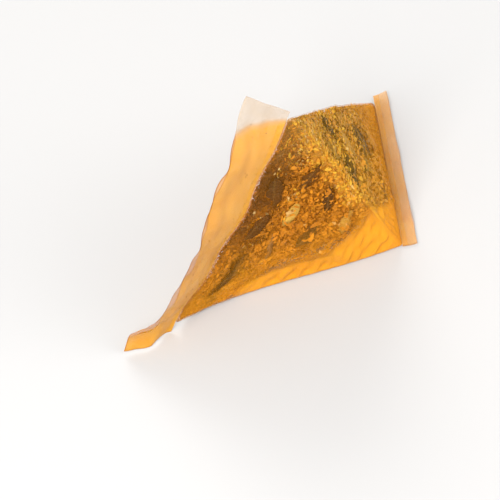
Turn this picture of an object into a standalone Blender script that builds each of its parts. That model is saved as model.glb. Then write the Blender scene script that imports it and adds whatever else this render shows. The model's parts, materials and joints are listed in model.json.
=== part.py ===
"""Pyramid tea bag, steeped, set down on one of its four faces.

A rectangle of fine mesh is folded into a tube and welded across both ends, the
second weld turned against the first, so that the bag is a tetrahedron. The wide
flap that is left past the first weld stands out along the seam from the low
corner to the apex. The narrow one lies flat on the far side. Inside are a packed
bed of fine leaf and the coarse pieces that lie between the bed and the mesh.

Lengths are in metres and +Z is up. The bag is a star-shaped form about the centre
of its inscribed sphere: every piece of the filling is placed by a direction from
that centre and by its depth under the mesh.
"""

import math

import bmesh
import bpy
from mathutils import Matrix, Vector, noise

MM = 0.001

# Corners of the bag as it rests. The low corner is at the modelling origin.
SEAM_RUN = 40.2 * MM  # from the low corner to the apex's foot, along +X
APEX_SIDE = 2.6 * MM  # apex, along +Y
APEX_HEIGHT = 51.0 * MM
BACK_REACH = 71.3 * MM  # back corner, along +X
BACK_SIDE = 40.6 * MM  # back corner, along +Y
FRONT_REACH = 57.3 * MM  # front corner, along +X
FRONT_SIDE = 5.4 * MM  # front corner, along -Y

# The mesh.
MESH_THICKNESS = 0.15 * MM
FACE_BULGE = 2.2 * MM  # how far the filling swells the middle of a face
FOLD_DEPTH = 0.45 * MM  # soft folds that run out of the corners
FOLDS = 5  # folds across a face
SEAM_BOW = 2.0 * MM  # the wet seam hangs slack towards the middle of the bag
SEAM_WAVE = 0.6 * MM
SEAM_WAVES = 3.1
SWAY_REACH = 14.0 * MM  # how far into the faces the sway is felt
SWAY_FADE = 10.0 * MM  # height over which the sway fades to nothing at the table
EDGE_DRAW = 2.2 * MM  # how far the slack edge between the low and front corners is drawn in
EDGE_REACH = 11.0 * MM  # how far into the faces this is felt
PORE_SIZE = 1.0 * MM
PORE_ROWS = 8

# Flaps past the two welds.
WIDE_FLAP = 11.0 * MM
NARROW_FLAP = 3.5 * MM
FLAP_ROOT = 0.9 * MM  # overlap of a flap with the bag that carries it
WELD_WIDTH = 1.3 * MM
WELD_THICKNESS = 0.46 * MM
WELD_SLOPE = 0.3 * MM  # from the weld's bead down to the plain mesh
FLAP_LEAN_TOP = math.radians(42)  # away from the front face, at the apex
FLAP_LEAN_UPPER = math.radians(2)
FLAP_LEAN_LOWER = math.radians(-10)
FLAP_LEAN_FOOT = math.radians(34)  # where the flap's lower end curls out
FLAP_TIP_DROOP = 0.66  # how far the flap's lower end falls outwards, as a slope
FLAP_FOOT_START = 0.12  # share of the seam below which the foot curls aside on the table
FLAP_FOOT_SWEEP = 3.0 * MM  # towards the front
FLAP_FOOT_LIFT = 1.4 * MM  # height of the curl between the bag and its free end
FLAP_RIPPLE = 0.5 * MM
NARROW_LIFT = 0.8 * MM  # waves of the narrow flap's free edge
TABLE_GAP = 0.05 * MM  # between the flaps and the table

# The filling.
CLEARANCE = 0.3 * MM
LEAF_LENGTH = 8.6 * MM
LEAF_WIDTH = 4.4 * MM
LEAF_THICKNESS = 0.45 * MM
LEAF_CURL = 0.4 * MM
PETAL_LENGTH = 6.3 * MM
PETAL_WIDTH = 3.2 * MM
PETAL_THICKNESS = 0.4 * MM
PETAL_CUP = 0.4 * MM
STRIP_LENGTH = 13.0 * MM  # the long narrow leaf near the low corner
STRIP_WIDTH = 2.6 * MM
STRIP_PLACE = (0.66, 0.135, 0.205)  # shares of the low corner, the front one and the apex
STRIP_TURN = math.radians(-4)
STEM_LENGTH = 8.5 * MM
STEM_DIAMETER = 1.1 * MM
BUD_LENGTH = 3.6 * MM
BUD_WIDTH = 2.2 * MM
BUD_THICKNESS = 1.2 * MM
PIECE_ROWS = 5
PIECE_INSET = 0.82  # pulls the rows of coarse pieces in from a face's edges
BED_LUMP = 0.4 * MM
LUMP_SPACING = 6.0 * MM
BED_HOLLOW = 4.6 * MM  # how far the bed falls back where the bag is slack

SKIN_CUTS = 13
BED_CUTS = 13

# The kinds of coarse piece on each face, in rows from the face's first edge to its third corner.
KINDS = {"L": "leaf", "P": "petal", "S": "stem", "B": "bud"}
SEAM_FRONT_PIECES = "..LP. .SLP LPL LL L"
FAR_PIECES = ".LPP. PBLP LPP PL P"
SEAM_BACK_PIECES = ".LLP. LSPL BLL LB P"

LOW, APEX, BACK, FRONT = range(4)
FLAP_FOOT_HEADING = Vector((-0.4, -0.92, 0))
CORNERS = (
    Vector((0, 0, 0)),
    Vector((SEAM_RUN, APEX_SIDE, APEX_HEIGHT)),
    Vector((BACK_REACH, BACK_SIDE, 0)),
    Vector((FRONT_REACH, -FRONT_SIDE, 0)),
)
# Each face's corners, seen from outside against the clock.
TABLE_FACE = (LOW, BACK, FRONT)
SEAM_FRONT_FACE = (LOW, FRONT, APEX)
SEAM_BACK_FACE = (LOW, APEX, BACK)
FAR_FACE = (FRONT, BACK, APEX)
FACES = (TABLE_FACE, SEAM_FRONT_FACE, SEAM_BACK_FACE, FAR_FACE)
RAISED_FACES = FACES[1:]


def face_normal(face):
    a, b, c = (CORNERS[i] for i in face)
    return (b - a).cross(c - a).normalized()


def face_area(face):
    a, b, c = (CORNERS[i] for i in face)
    return (b - a).cross(c - a).length / 2


def opposite_face_area(corner):
    return next(face_area(f) for f in FACES if corner not in f)


def inscribed_sphere():
    """Centre and radius of the sphere that touches all four faces."""
    areas = [opposite_face_area(i) for i in range(4)]
    centre = sum((c * s for c, s in zip(CORNERS, areas)), Vector()) / sum(areas)
    return centre, face_normal(SEAM_FRONT_FACE).dot(CORNERS[LOW] - centre)


CENTRE, INRADIUS = inscribed_sphere()
NORMALS = {face: face_normal(face) for face in FACES}
SEAM = CORNERS[APEX] - CORNERS[LOW]
SEAM_DIRECTION = SEAM.normalized()
UP = Vector((0, 0, 1))

# The depths under the outside of the mesh at which the filling is laid. The coarse pieces touch
# the mesh, and the bed lies under the thickest of them.
WALL_DEPTH = MESH_THICKNESS + CLEARANCE
PIECE_ROOM = max(LEAF_THICKNESS + LEAF_CURL, PETAL_THICKNESS + PETAL_CUP, STEM_DIAMETER, BUD_THICKNESS)
BED_DEPTH = WALL_DEPTH + PIECE_ROOM + CLEARANCE


def smooth(low, high, value):
    t = min(1.0, max(0.0, (value - low) / (high - low)))
    return t * t * (3 - 2 * t)


def shares_of(point, face):
    """The three corners' shares in a point of a face, which add up to one."""
    a, b, c = (CORNERS[i] for i in face)
    normal = (b - a).cross(c - a)
    whole = normal.length_squared
    share_b = (point - a).cross(c - a).dot(normal) / whole
    share_c = (b - a).cross(point - a).dot(normal) / whole
    return 1 - share_b - share_c, share_b, share_c


def face_towards(direction):
    return max(FACES, key=lambda face: NORMALS[face].dot(direction))


def corner_shares(direction):
    """The shares of all four corners where a ray from the centre meets the flat bag."""
    face = face_towards(direction)
    hit = CENTRE + direction * (INRADIUS / NORMALS[face].dot(direction))
    shares = [0.0] * 4
    for corner, share in zip(face, shares_of(hit, face)):
        shares[corner] = share
    return face, hit, shares


def swell(face, shares):
    """How far the mesh stands out of the flat face: a crown with folds out of the corners."""
    if face == TABLE_FACE:
        return 0.0
    a, b, c = (max(0.0, shares[i]) for i in face)
    crown = FACE_BULGE * (27 * a * b * c) ** 0.8
    across = (b - c) / max(b + c, 1e-6)
    fold = math.cos(across * FOLDS * math.pi + 3 * a) * (27 * a * b * c) ** 0.5
    return crown + FOLD_DEPTH * fold * (a + 0.3)


def skin_radius(direction):
    face, hit, shares = corner_shares(direction)
    return (hit - CENTRE).length + swell(face, shares)


def slackness(shares):
    """One where the bag has no tea behind its mesh: in the front corner and along its low edge."""
    corner = smooth(0.42, 0.78, shares[FRONT] - 0.55 * shares[APEX] - 0.45 * shares[BACK])
    edge = smooth(0.17, 0.05, shares[APEX] + shares[BACK]) * smooth(0.18, 0.45, shares[FRONT])
    return max(corner, edge)


def drawn_in(point):
    """How far the slack low edge pulls a point in under the bag."""
    edge = CORNERS[FRONT] - CORNERS[LOW]
    along = (point - CORNERS[LOW]).dot(edge) / edge.length_squared
    off_edge = (point - CORNERS[LOW] - edge * along).length
    along = min(1.0, max(0.0, along))
    pull = EDGE_DRAW * 27 / 4 * along * (1 - along) ** 2
    return UP.cross(edge).normalized() * (pull * math.exp(-((off_edge / EDGE_REACH) ** 2)))


def soften(point):
    """The wet seam's sway and the drawn-in low edge, which every piece near them follows."""
    along = (point - CORNERS[LOW]).dot(SEAM_DIRECTION) / SEAM.length
    off_seam = (point - CORNERS[LOW] - SEAM * along).length
    sideways = SEAM_DIRECTION.cross(Vector((0, 1, 0))).normalized()
    share = math.exp(-((off_seam / SWAY_REACH) ** 2)) * smooth(0, SWAY_FADE, point.z)
    along = min(1.0, max(0.0, along))
    wave = SEAM_WAVE * math.cos(2 * math.pi * SEAM_WAVES * (along - 0.55))
    sway = (SEAM_BOW + wave) * math.sin(math.pi * along)
    return point - sideways * (sway * share) + drawn_in(point)


def under_skin(direction, depth):
    """The point in this direction that lies this deep under the outside of the mesh."""
    return CENTRE + direction * skin_radius(direction) * (1 - depth / INRADIUS)


def finished(name, bm, colour, roughness, group, smooth_angle=None):
    """Makes an object of a bmesh, with its own material."""
    bmesh.ops.recalc_face_normals(bm, faces=bm.faces)
    if bm.calc_volume(signed=True) < 0:
        bmesh.ops.reverse_faces(bm, faces=bm.faces)
    mesh = bpy.data.meshes.new(name)
    bm.to_mesh(mesh)
    bm.free()
    material = bpy.data.materials.new(name)
    material.use_nodes = True
    shader = material.node_tree.nodes["Principled BSDF"]
    shader.inputs["Base Color"].default_value = (*colour, 1)
    shader.inputs["Roughness"].default_value = roughness
    shader.inputs["Metallic"].default_value = 0
    mesh.materials.append(material)
    if smooth_angle is not None:
        mesh.shade_smooth()
        mesh.set_sharp_from_angle(angle=smooth_angle)
    obj = bpy.data.objects.new(name, mesh)
    bpy.context.scene.collection.objects.link(obj)
    obj.parent = group
    return obj


def helper(name, bm, group):
    """A cutter or a piece for a Boolean, which is no part of the bag by itself."""
    obj = finished(name, bm, (0.5, 0.5, 0.5), 1, group)
    obj.hide_render = True
    obj.display_type = "WIRE"
    return obj


def combine(obj, operation, other):
    modifier = obj.modifiers.new(other.name, "BOOLEAN")
    modifier.operation = operation
    modifier.solver = "EXACT"
    modifier.object = other


def flat_bag(cuts):
    """The flat-sided tetrahedron as a bmesh, each edge divided by that many cuts."""
    bm = bmesh.new()
    corners = [bm.verts.new(c) for c in CORNERS]
    for face in FACES:
        bm.faces.new([corners[i] for i in face])
    bmesh.ops.subdivide_edges(bm, edges=bm.edges[:], cuts=cuts, use_grid_fill=True)
    bmesh.ops.triangulate(bm, faces=bm.faces[:])
    return bm


def skin_form(depth):
    """The closed form that lies this deep under the outside of the mesh."""
    bm = flat_bag(SKIN_CUTS)
    for vertex in bm.verts:
        direction = (vertex.co - CENTRE).normalized()
        vertex.co = soften(under_skin(direction, depth))
    return bm


def plate(rows):
    """A closed plate from rows of (upper, lower) points."""
    bm = bmesh.new()
    upper = [[bm.verts.new(soften(u)) for u, _ in row] for row in rows]
    lower = [[bm.verts.new(soften(v)) for _, v in row] for row in rows]
    last, wide = len(rows) - 1, len(rows[0]) - 1
    for i in range(last):
        for j in range(wide):
            bm.faces.new((upper[i][j], upper[i][j + 1], upper[i + 1][j + 1], upper[i + 1][j]))
            bm.faces.new((lower[i][j], lower[i + 1][j], lower[i + 1][j + 1], lower[i][j + 1]))
        for j in (0, wide):
            bm.faces.new((upper[i][j], upper[i + 1][j], lower[i + 1][j], lower[i][j]))
    for j in range(wide):
        for i in (0, last):
            bm.faces.new((upper[i][j], lower[i][j], lower[i][j + 1], upper[i][j + 1]))
    bmesh.ops.triangulate(bm, faces=bm.faces[:])
    return bm


def flap_stations(width):
    """Distances across a flap, from inside the bag, over the weld and to the free edge."""
    free = width - WELD_WIDTH
    plain = WELD_WIDTH + WELD_SLOPE
    return [-FLAP_ROOT, 0.0, WELD_WIDTH, plain] + [
        plain + (free - WELD_SLOPE) * k / 4 for k in range(1, 5)
    ]


def flap_thickness(across):
    return WELD_THICKNESS if across <= WELD_WIDTH else 2 * MESH_THICKNESS


def wide_flap_direction(along):
    """Which way the wide flap stands out, a share of the way up the seam."""
    middle = (CORNERS[BACK] + CORNERS[FRONT]) / 2
    outwards = (CORNERS[LOW] + CORNERS[APEX]) / 2 - middle
    outwards = (outwards - SEAM_DIRECTION * outwards.dot(SEAM_DIRECTION)).normalized()
    backwards = outwards.cross(SEAM_DIRECTION).normalized()
    lean = FLAP_LEAN_LOWER + (FLAP_LEAN_UPPER - FLAP_LEAN_LOWER) * smooth(0.38, 0.6, along)
    lean += (FLAP_LEAN_TOP - FLAP_LEAN_UPPER) * smooth(0.74, 1.0, along)
    lean += (FLAP_LEAN_FOOT - FLAP_LEAN_LOWER) * smooth(0.16, 0.0, along)
    spread = FLAP_TIP_DROOP * smooth(0.4, 0.0, along)
    direction = outwards * math.cos(lean) + backwards * math.sin(lean)
    direction = direction - SEAM_DIRECTION * spread
    return direction.normalized(), backwards


def wide_flap():
    """The flap past the first weld, along the seam from the low corner to the apex."""
    steps = 26
    rows = []
    for i in range(steps + 1):
        along = 0.015 + 0.98 * i / steps
        root = CORNERS[LOW] + SEAM * along
        direction, backwards = wide_flap_direction(along)
        across_plate = direction.cross(SEAM_DIRECTION).normalized()
        row = []
        for across in flap_stations(WIDE_FLAP):
            free = max(0.0, across / WIDE_FLAP)
            ripple = FLAP_RIPPLE * math.sin(3.4 * math.pi * along + 0.6) * free**1.5
            middle = root + direction * across + backwards * ripple
            foot = smooth(FLAP_FOOT_START, 0, along) * smooth(0.15, 0.6, free)
            middle += FLAP_FOOT_HEADING * (FLAP_FOOT_SWEEP * foot)
            middle.z += FLAP_FOOT_LIFT * math.sin(math.pi * foot) * free
            if across < 0:
                middle = root + (CENTRE - root).normalized() * -across
            half = across_plate * (flap_thickness(across) / 2)
            row.append((middle + half, middle - half))
        rows.append(row)
    return plate(rows)


def narrow_flap():
    """The flap past the second weld, flat on the table from the front corner to the back one."""
    steps = 18
    edge = CORNERS[BACK] - CORNERS[FRONT]
    outwards = edge.cross(UP).normalized()
    rows = []
    for i in range(steps + 1):
        along = 0.02 + 0.96 * i / steps
        root = CORNERS[FRONT] + edge * along
        row = []
        for across in flap_stations(NARROW_FLAP):
            free = max(0.0, across / NARROW_FLAP) ** 2
            lift = NARROW_LIFT * free * (0.5 - 0.5 * math.cos(5 * math.pi * along))
            low = root + outwards * across + UP * (TABLE_GAP + lift)
            row.append((low + UP * flap_thickness(across), low))
        rows.append(row)
    return plate(rows)


def pores():
    """Square prisms through the raised faces, for the openings of the mesh."""
    bm = bmesh.new()
    reach = 4 * MESH_THICKNESS
    for face in RAISED_FACES:
        first = (CORNERS[face[1]] - CORNERS[face[0]]).normalized()
        for i in range(PORE_ROWS):
            for j in range(PORE_ROWS - i):
                k = PORE_ROWS - 1 - i - j
                shares = [(n + 1 / 3) / PORE_ROWS for n in (i, j, k)]
                flat = sum((CORNERS[c] * s for c, s in zip(face, shares)), Vector())
                direction = (flat - CENTRE).normalized()
                place = soften(under_skin(direction, MESH_THICKNESS / 2))
                axes = Matrix((first, NORMALS[face].cross(first), NORMALS[face])).transposed()
                matrix = Matrix.Translation(place) @ axes.to_4x4()
                matrix = matrix @ Matrix.Diagonal((PORE_SIZE, PORE_SIZE, 2 * reach, 1))
                bmesh.ops.create_cube(bm, size=1, matrix=matrix)
    return bm


def mesh_bag(group):
    bag = finished("mesh_bag", skin_form(0), (0.86, 0.58, 0.22), 0.55, group, math.radians(30))
    combine(bag, "UNION", helper("wide_flap", wide_flap(), group))
    combine(bag, "UNION", helper("narrow_flap", narrow_flap(), group))
    combine(bag, "DIFFERENCE", helper("hollow", skin_form(MESH_THICKNESS), group))
    combine(bag, "DIFFERENCE", helper("pores", pores(), group))
    return bag


def bed_depth(direction):
    """How deep the bed's surface lies: at the mesh in the corners, under the pieces elsewhere."""
    face, hit, shares = corner_shares(direction)
    corner = smooth(0.72, 0.84, max(shares))
    if face == TABLE_FACE:
        corner = smooth(0.0, 0.06, min(shares[i] for i in face))
    depth = BED_DEPTH + (WALL_DEPTH - BED_DEPTH) * corner
    lump = noise.noise(hit / LUMP_SPACING) * 0.5 + 0.5
    if face != TABLE_FACE:
        depth += BED_LUMP * lump
    return depth + BED_HOLLOW * slackness(shares)


def tea_bed(group):
    """The packed, swollen fine leaf that fills the middle and the corners of the bag."""
    bm = flat_bag(BED_CUTS)
    for vertex in bm.verts:
        direction = (vertex.co - CENTRE).normalized()
        vertex.co = soften(under_skin(direction, bed_depth(direction)))
    return finished("tea_bed", bm, (0.29, 0.16, 0.05), 0.8, group, math.radians(50))


class Seat:
    """A place for a coarse piece beside one face, with its own axes along and across it."""

    def __init__(self, face, centre, turn):
        self.centre = centre
        seam_like = SEAM_DIRECTION - NORMALS[face] * SEAM_DIRECTION.dot(NORMALS[face])
        spin = Matrix.Rotation(turn, 3, NORMALS[face])
        self.along = spin @ seam_like.normalized()
        self.across = NORMALS[face].cross(self.along)

    def point(self, x, y, deeper):
        flat = self.centre + self.along * x + self.across * y
        direction = (flat - CENTRE).normalized()
        return soften(under_skin(direction, WALL_DEPTH + deeper))


def blade(seat, length, width, thickness, curl, bluntness, steps):
    """A thin leaf-shaped piece whose long edges curl away from the mesh."""
    bm = bmesh.new()
    rings = []
    for i in range(steps + 1):
        along = 2 * i / steps - 1
        half = width / 2 * max(0.16, (1 - along * along)) ** bluntness
        ring = []
        for side in (-1, 0, 1):
            ring.append((along * length / 2, side * half, curl * abs(side)))
        for side in (1, 0, -1):
            ring.append((along * length / 2, side * half, curl * abs(side) + thickness))
        rings.append([bm.verts.new(seat.point(*p)) for p in ring])
    close_tube(bm, rings)
    return bm


def close_tube(bm, rings):
    """Skins a row of rings and caps both ends."""
    count = len(rings[0])
    for first, second in zip(rings, rings[1:]):
        for j in range(count):
            k = (j + 1) % count
            bm.faces.new((first[j], first[k], second[k], second[j]))
    bm.faces.new(rings[0][::-1])
    bm.faces.new(rings[-1])
    bmesh.ops.triangulate(bm, faces=bm.faces[:])


def strip(seat):
    return blade(seat, STRIP_LENGTH, STRIP_WIDTH, LEAF_THICKNESS, LEAF_CURL, 0.5, 8)


def leaf(seat):
    return blade(seat, LEAF_LENGTH, LEAF_WIDTH, LEAF_THICKNESS, LEAF_CURL, 0.75, 6)


def petal(seat):
    return blade(seat, PETAL_LENGTH, PETAL_WIDTH, PETAL_THICKNESS, PETAL_CUP, 0.4, 4)


def stem(seat):
    """A short bent twig."""
    bm = bmesh.new()
    rings, steps, sides = [], 4, 6
    for i in range(steps + 1):
        along = 2 * i / steps - 1
        bend = 0.09 * STEM_LENGTH * along * along
        ring = []
        for j in range(sides):
            angle = 2 * math.pi * j / sides
            y = bend + math.cos(angle) * STEM_DIAMETER / 2
            deeper = (1 + math.sin(angle)) * STEM_DIAMETER / 2
            ring.append(bm.verts.new(seat.point(along * STEM_LENGTH / 2, y, deeper)))
        rings.append(ring)
    close_tube(bm, rings)
    return bm


def bud(seat):
    """A small closed flower bud, flattened between the bed and the mesh."""
    bm = bmesh.new()
    bmesh.ops.create_uvsphere(bm, u_segments=8, v_segments=6, radius=0.5)
    for vertex in bm.verts:
        x, y, z = vertex.co
        taper = 1 - 0.5 * x
        vertex.co = seat.point(x * BUD_LENGTH, y * BUD_WIDTH * taper, (z + 0.5) * BUD_THICKNESS)
    return bm


MAKERS = {"strip": strip, "leaf": leaf, "petal": petal, "stem": stem, "bud": bud}
COLOURS = {
    "strip": (0.08, 0.07, 0.03),
    "leaf": (0.12, 0.1, 0.04),
    "petal": (0.78, 0.5, 0.1),
    "stem": (0.34, 0.18, 0.06),
    "bud": (0.6, 0.42, 0.12),
}


def place_on(face, shares):
    return sum((CORNERS[c] * s for c, s in zip(face, shares)), Vector())


def seats(face, kinds):
    """Rows of places for coarse pieces beside a face."""
    middle = place_on(face, (1 / 3, 1 / 3, 1 / 3))
    for i, row in enumerate(kinds.split()):
        for j, letter in enumerate(row):
            k = PIECE_ROWS - 1 - i - j
            flat = place_on(face, [(n + 1 / 3) / PIECE_ROWS for n in (k, j, i)])
            place = middle + (flat - middle) * PIECE_INSET
            shares = corner_shares((place - CENTRE).normalized())[2]
            # The bed fills the corners, and nothing lies where the bag is slack.
            if letter in KINDS and max(shares) < 0.62 and slackness(shares) < 0.3:
                turn = math.radians(20) * math.sin(2.3 * i + 4.1 * j + 1)
                yield KINDS[letter], Seat(face, place, turn)


def coarse_pieces(group):
    places = [("strip", Seat(SEAM_FRONT_FACE, place_on(SEAM_FRONT_FACE, STRIP_PLACE), STRIP_TURN))]
    places.extend(seats(SEAM_FRONT_FACE, SEAM_FRONT_PIECES))
    places.extend(seats(FAR_FACE, FAR_PIECES))
    places.extend(seats(SEAM_BACK_FACE, SEAM_BACK_PIECES))
    counts = dict.fromkeys(MAKERS, 0)
    for kind, seat in places:
        counts[kind] += 1
        name = f"{kind}_{counts[kind]:02d}"
        finished(name, MAKERS[kind](seat), COLOURS[kind], 0.7, group, math.radians(60))


def centre_on_origin(group, bag):
    """Moves the whole bag so that the middle of its box's underside is the origin."""
    bpy.context.view_layer.update()
    shape = bag.evaluated_get(bpy.context.evaluated_depsgraph_get())
    corners = [shape.matrix_world @ Vector(c) for c in shape.bound_box]
    low = Vector(map(min, *corners))
    high = Vector(map(max, *corners))
    group.location = (-(low.x + high.x) / 2, -(low.y + high.y) / 2, -low.z)


def build():
    for obj in list(bpy.data.objects):
        bpy.data.objects.remove(obj)
    group = bpy.data.objects.new("tea_bag", None)
    bpy.context.scene.collection.objects.link(group)
    bag = mesh_bag(group)
    tea_bed(group)
    coarse_pieces(group)
    centre_on_origin(group, bag)


build()
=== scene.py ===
"""The looks of a steeped pyramid tea bag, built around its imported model.

Lengths are in millimetres in this file and become metres when a mesh is made. The bag is
star-shaped about the centre of its inscribed sphere, so the mesh, the fine tea and every coarse
piece are placed by a direction from that centre and a depth under the mesh.
"""

import json
import math

import bpy
import numpy as np
from mathutils import Matrix, Vector

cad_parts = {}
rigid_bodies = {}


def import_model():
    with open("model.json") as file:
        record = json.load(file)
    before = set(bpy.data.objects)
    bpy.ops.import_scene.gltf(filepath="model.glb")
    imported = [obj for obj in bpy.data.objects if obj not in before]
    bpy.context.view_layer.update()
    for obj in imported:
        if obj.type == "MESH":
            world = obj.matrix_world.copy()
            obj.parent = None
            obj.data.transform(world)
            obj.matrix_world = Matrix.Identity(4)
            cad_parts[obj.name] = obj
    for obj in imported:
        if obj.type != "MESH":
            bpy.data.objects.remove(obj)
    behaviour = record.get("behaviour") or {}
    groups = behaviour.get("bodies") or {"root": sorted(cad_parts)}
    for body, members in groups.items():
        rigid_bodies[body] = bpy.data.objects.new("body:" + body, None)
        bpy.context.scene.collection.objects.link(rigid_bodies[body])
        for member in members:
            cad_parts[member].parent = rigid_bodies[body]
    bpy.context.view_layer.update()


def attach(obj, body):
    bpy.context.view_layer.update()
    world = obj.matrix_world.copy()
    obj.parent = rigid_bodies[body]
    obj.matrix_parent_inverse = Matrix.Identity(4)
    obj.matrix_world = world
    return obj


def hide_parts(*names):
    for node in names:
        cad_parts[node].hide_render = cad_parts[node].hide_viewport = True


MM = 0.001

# Measures that part.py has too.
CORNERS = np.array(
    [[-31.473, -17.55, 0.0], [8.727, -14.95, 51.0], [39.827, 23.05, 0.0], [25.827, -22.95, 0.0]]
)
MESH_THICKNESS = 0.15
FACE_BULGE = 2.2
FOLD_DEPTH = 0.45
FOLDS = 5
SEAM_BOW = 2.0
SEAM_WAVE = 0.6
SEAM_WAVES = 3.1
SWAY_REACH = 14.0
SWAY_FADE = 10.0
EDGE_DRAW = 2.2
EDGE_REACH = 11.0
WIDE_FLAP = 11.0
NARROW_FLAP = 3.5
WELD_WIDTH = 1.3
FLAP_LEANS = np.radians([42, 2, -10, 34])  # at the apex, above and below the middle, at the foot
FLAP_TIP_DROOP = 0.66
FLAP_RIPPLE = 0.5
NARROW_LIFT = 0.8
CLEARANCE = 0.3
WALL_DEPTH = MESH_THICKNESS + CLEARANCE
PIECE_ROOM = 1.2
BED_DEPTH = WALL_DEPTH + PIECE_ROOM + CLEARANCE
BED_HOLLOW = 4.6
PIECE_ROWS = 5
PIECE_INSET = 0.82
KINDS = {"L": "leaf", "P": "petal", "S": "stem", "B": "bud"}
LAYOUTS = ("..LP. .SLP LPL LL L", ".LPP. PBLP LPP PL P", ".LLP. LSPL BLL LB P")
STRIP_PLACE = (0.66, 0.135, 0.205)
STRIP_TURN = math.radians(-4)
SIZES = {
    "leaf": (8.6, 4.4, 0.45, 0.4),
    "strip": (13.0, 2.6, 0.45, 0.4),
    "petal": (6.3, 3.2, 0.4, 0.4),
    "stem": (8.5, 1.1, 1.1, 0.0),
    "bud": (3.6, 2.2, 1.2, 0.0),
}

LOW, APEX, BACK, FRONT = range(4)
FACES = ((LOW, BACK, FRONT), (LOW, FRONT, APEX), (LOW, APEX, BACK), (FRONT, BACK, APEX))
TABLE, SEAM_FRONT, SEAM_BACK, FAR = range(4)


def unit(v):
    return v / np.maximum(np.linalg.norm(v, axis=-1, keepdims=True), 1e-9)


def smooth(low, high, value):
    t = np.clip((value - low) / (high - low), 0, 1)
    return t * t * (3 - 2 * t)


CROSSES = np.array(
    [np.cross(CORNERS[b] - CORNERS[a], CORNERS[c] - CORNERS[a]) for a, b, c in FACES]
)
NORMALS = unit(CROSSES)
AREAS = np.linalg.norm(CROSSES, axis=1)
# The weight of a corner is the area of the face opposite to it.
WEIGHTS = np.array([AREAS[FAR], AREAS[TABLE], AREAS[SEAM_FRONT], AREAS[SEAM_BACK]])
CENTRE = (CORNERS * WEIGHTS[:, None]).sum(0) / WEIGHTS.sum()
INRADIUS = float(NORMALS[SEAM_FRONT] @ (CORNERS[LOW] - CENTRE))
SPLITS = [np.linalg.inv((CORNERS[list(f)] - CENTRE).T) for f in FACES]
SEAM = CORNERS[APEX] - CORNERS[LOW]
SEAM_LENGTH = float(np.linalg.norm(SEAM))
SEAM_DIRECTION = SEAM / SEAM_LENGTH
SEAM_OUTWARDS = unit(np.cross(SEAM_DIRECTION, np.array([0.0, 1.0, 0.0])))
UP = np.array([0.0, 0.0, 1.0])

EDGE_ROUNDING = 0.006  # of the inradius, along the edges between the seam's faces and the others
# Ranges of the corners' shares over which the bag goes slack.
SLACK_CORNER = (0.42, 0.78)
SLACK_EDGE = (0.17, 0.05)
SLACK_EDGE_START = (0.18, 0.45)
# Ranges of the shares over which a place counts as at an edge or in a corner.
AT_EDGE = (0.10, 0.02)
IN_CORNER = (0.80, 0.90)

# Relief of the wet mesh, in millimetres.
TABLE_DENT = 0.12
LUMP_HEIGHT = 0.3
CREASE_HEIGHT = 0.13
SLACK_CREASE_HEIGHT = 0.3
PUCKER_HEIGHT = 0.1
SLACK_SINK = 0.9
BED_LUMP_HEIGHT = 0.35
LOWEST_TEA = 0.15  # above the table


def waves(seed, count, low, high, along=None, squeeze=1.0):
    """Random plane waves, with wavelengths from low to high, for a smooth random field."""
    rng = np.random.default_rng(seed)
    heading = unit(rng.normal(size=(count, 3)))
    if along is not None:
        heading = unit(heading - (1 - 1 / squeeze) * (heading @ along)[:, None] * along)
    length = low * (high / low) ** rng.random(count)
    return heading * (2 * math.pi / length)[:, None], rng.random(count) * 2 * math.pi


def field(points, wave):
    """The random field at these points, about -1 to 1."""
    vectors, phases = wave
    total = np.zeros(points.shape[:-1])
    for vector, phase in zip(vectors, phases):
        total += np.sin(points @ vector + phase)
    return total / math.sqrt(len(phases) / 1.6)


LUMPS = waves(3, 14, 4.5, 10.0)
CREASES = waves(5, 16, 1.8, 3.6, SEAM_DIRECTION, 6.0)
PUCKERS = waves(8, 10, 2.2, 4.0)
BED_LUMPS = waves(11, 14, 2.5, 7.0)


def meet(directions):
    """Where rays from the centre meet the bag: distance, face and each corner's share."""
    g = directions @ NORMALS.T / INRADIUS
    seamed = np.maximum(g[..., SEAM_FRONT], g[..., SEAM_BACK])
    other = np.maximum(g[..., TABLE], g[..., FAR])
    h = np.clip(0.5 + 0.5 * (seamed - other) / EDGE_ROUNDING, 0, 1)
    soft = other + (seamed - other) * h + EDGE_ROUNDING * h * (1 - h)
    face = np.argmax(g, axis=-1)
    flat = directions / np.take_along_axis(g, face[..., None], -1)
    shares = np.zeros(directions.shape[:-1] + (4,))
    for f, corners in enumerate(FACES):
        mask = face == f
        part = flat[mask] @ SPLITS[f].T
        block = np.zeros((len(part), 4))
        block[:, list(corners)] = part
        shares[mask] = block
    return 1 / soft, face, shares


def slackness(shares):
    """One where the bag has no tea behind its mesh: in the front corner and along its low edge."""
    apex, back, front = (shares[..., i] for i in (APEX, BACK, FRONT))
    corner = smooth(*SLACK_CORNER, front - 0.55 * apex - 0.45 * back)
    edge = smooth(*SLACK_EDGE, apex + back)
    return np.maximum(corner, edge * smooth(*SLACK_EDGE_START, front))


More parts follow.
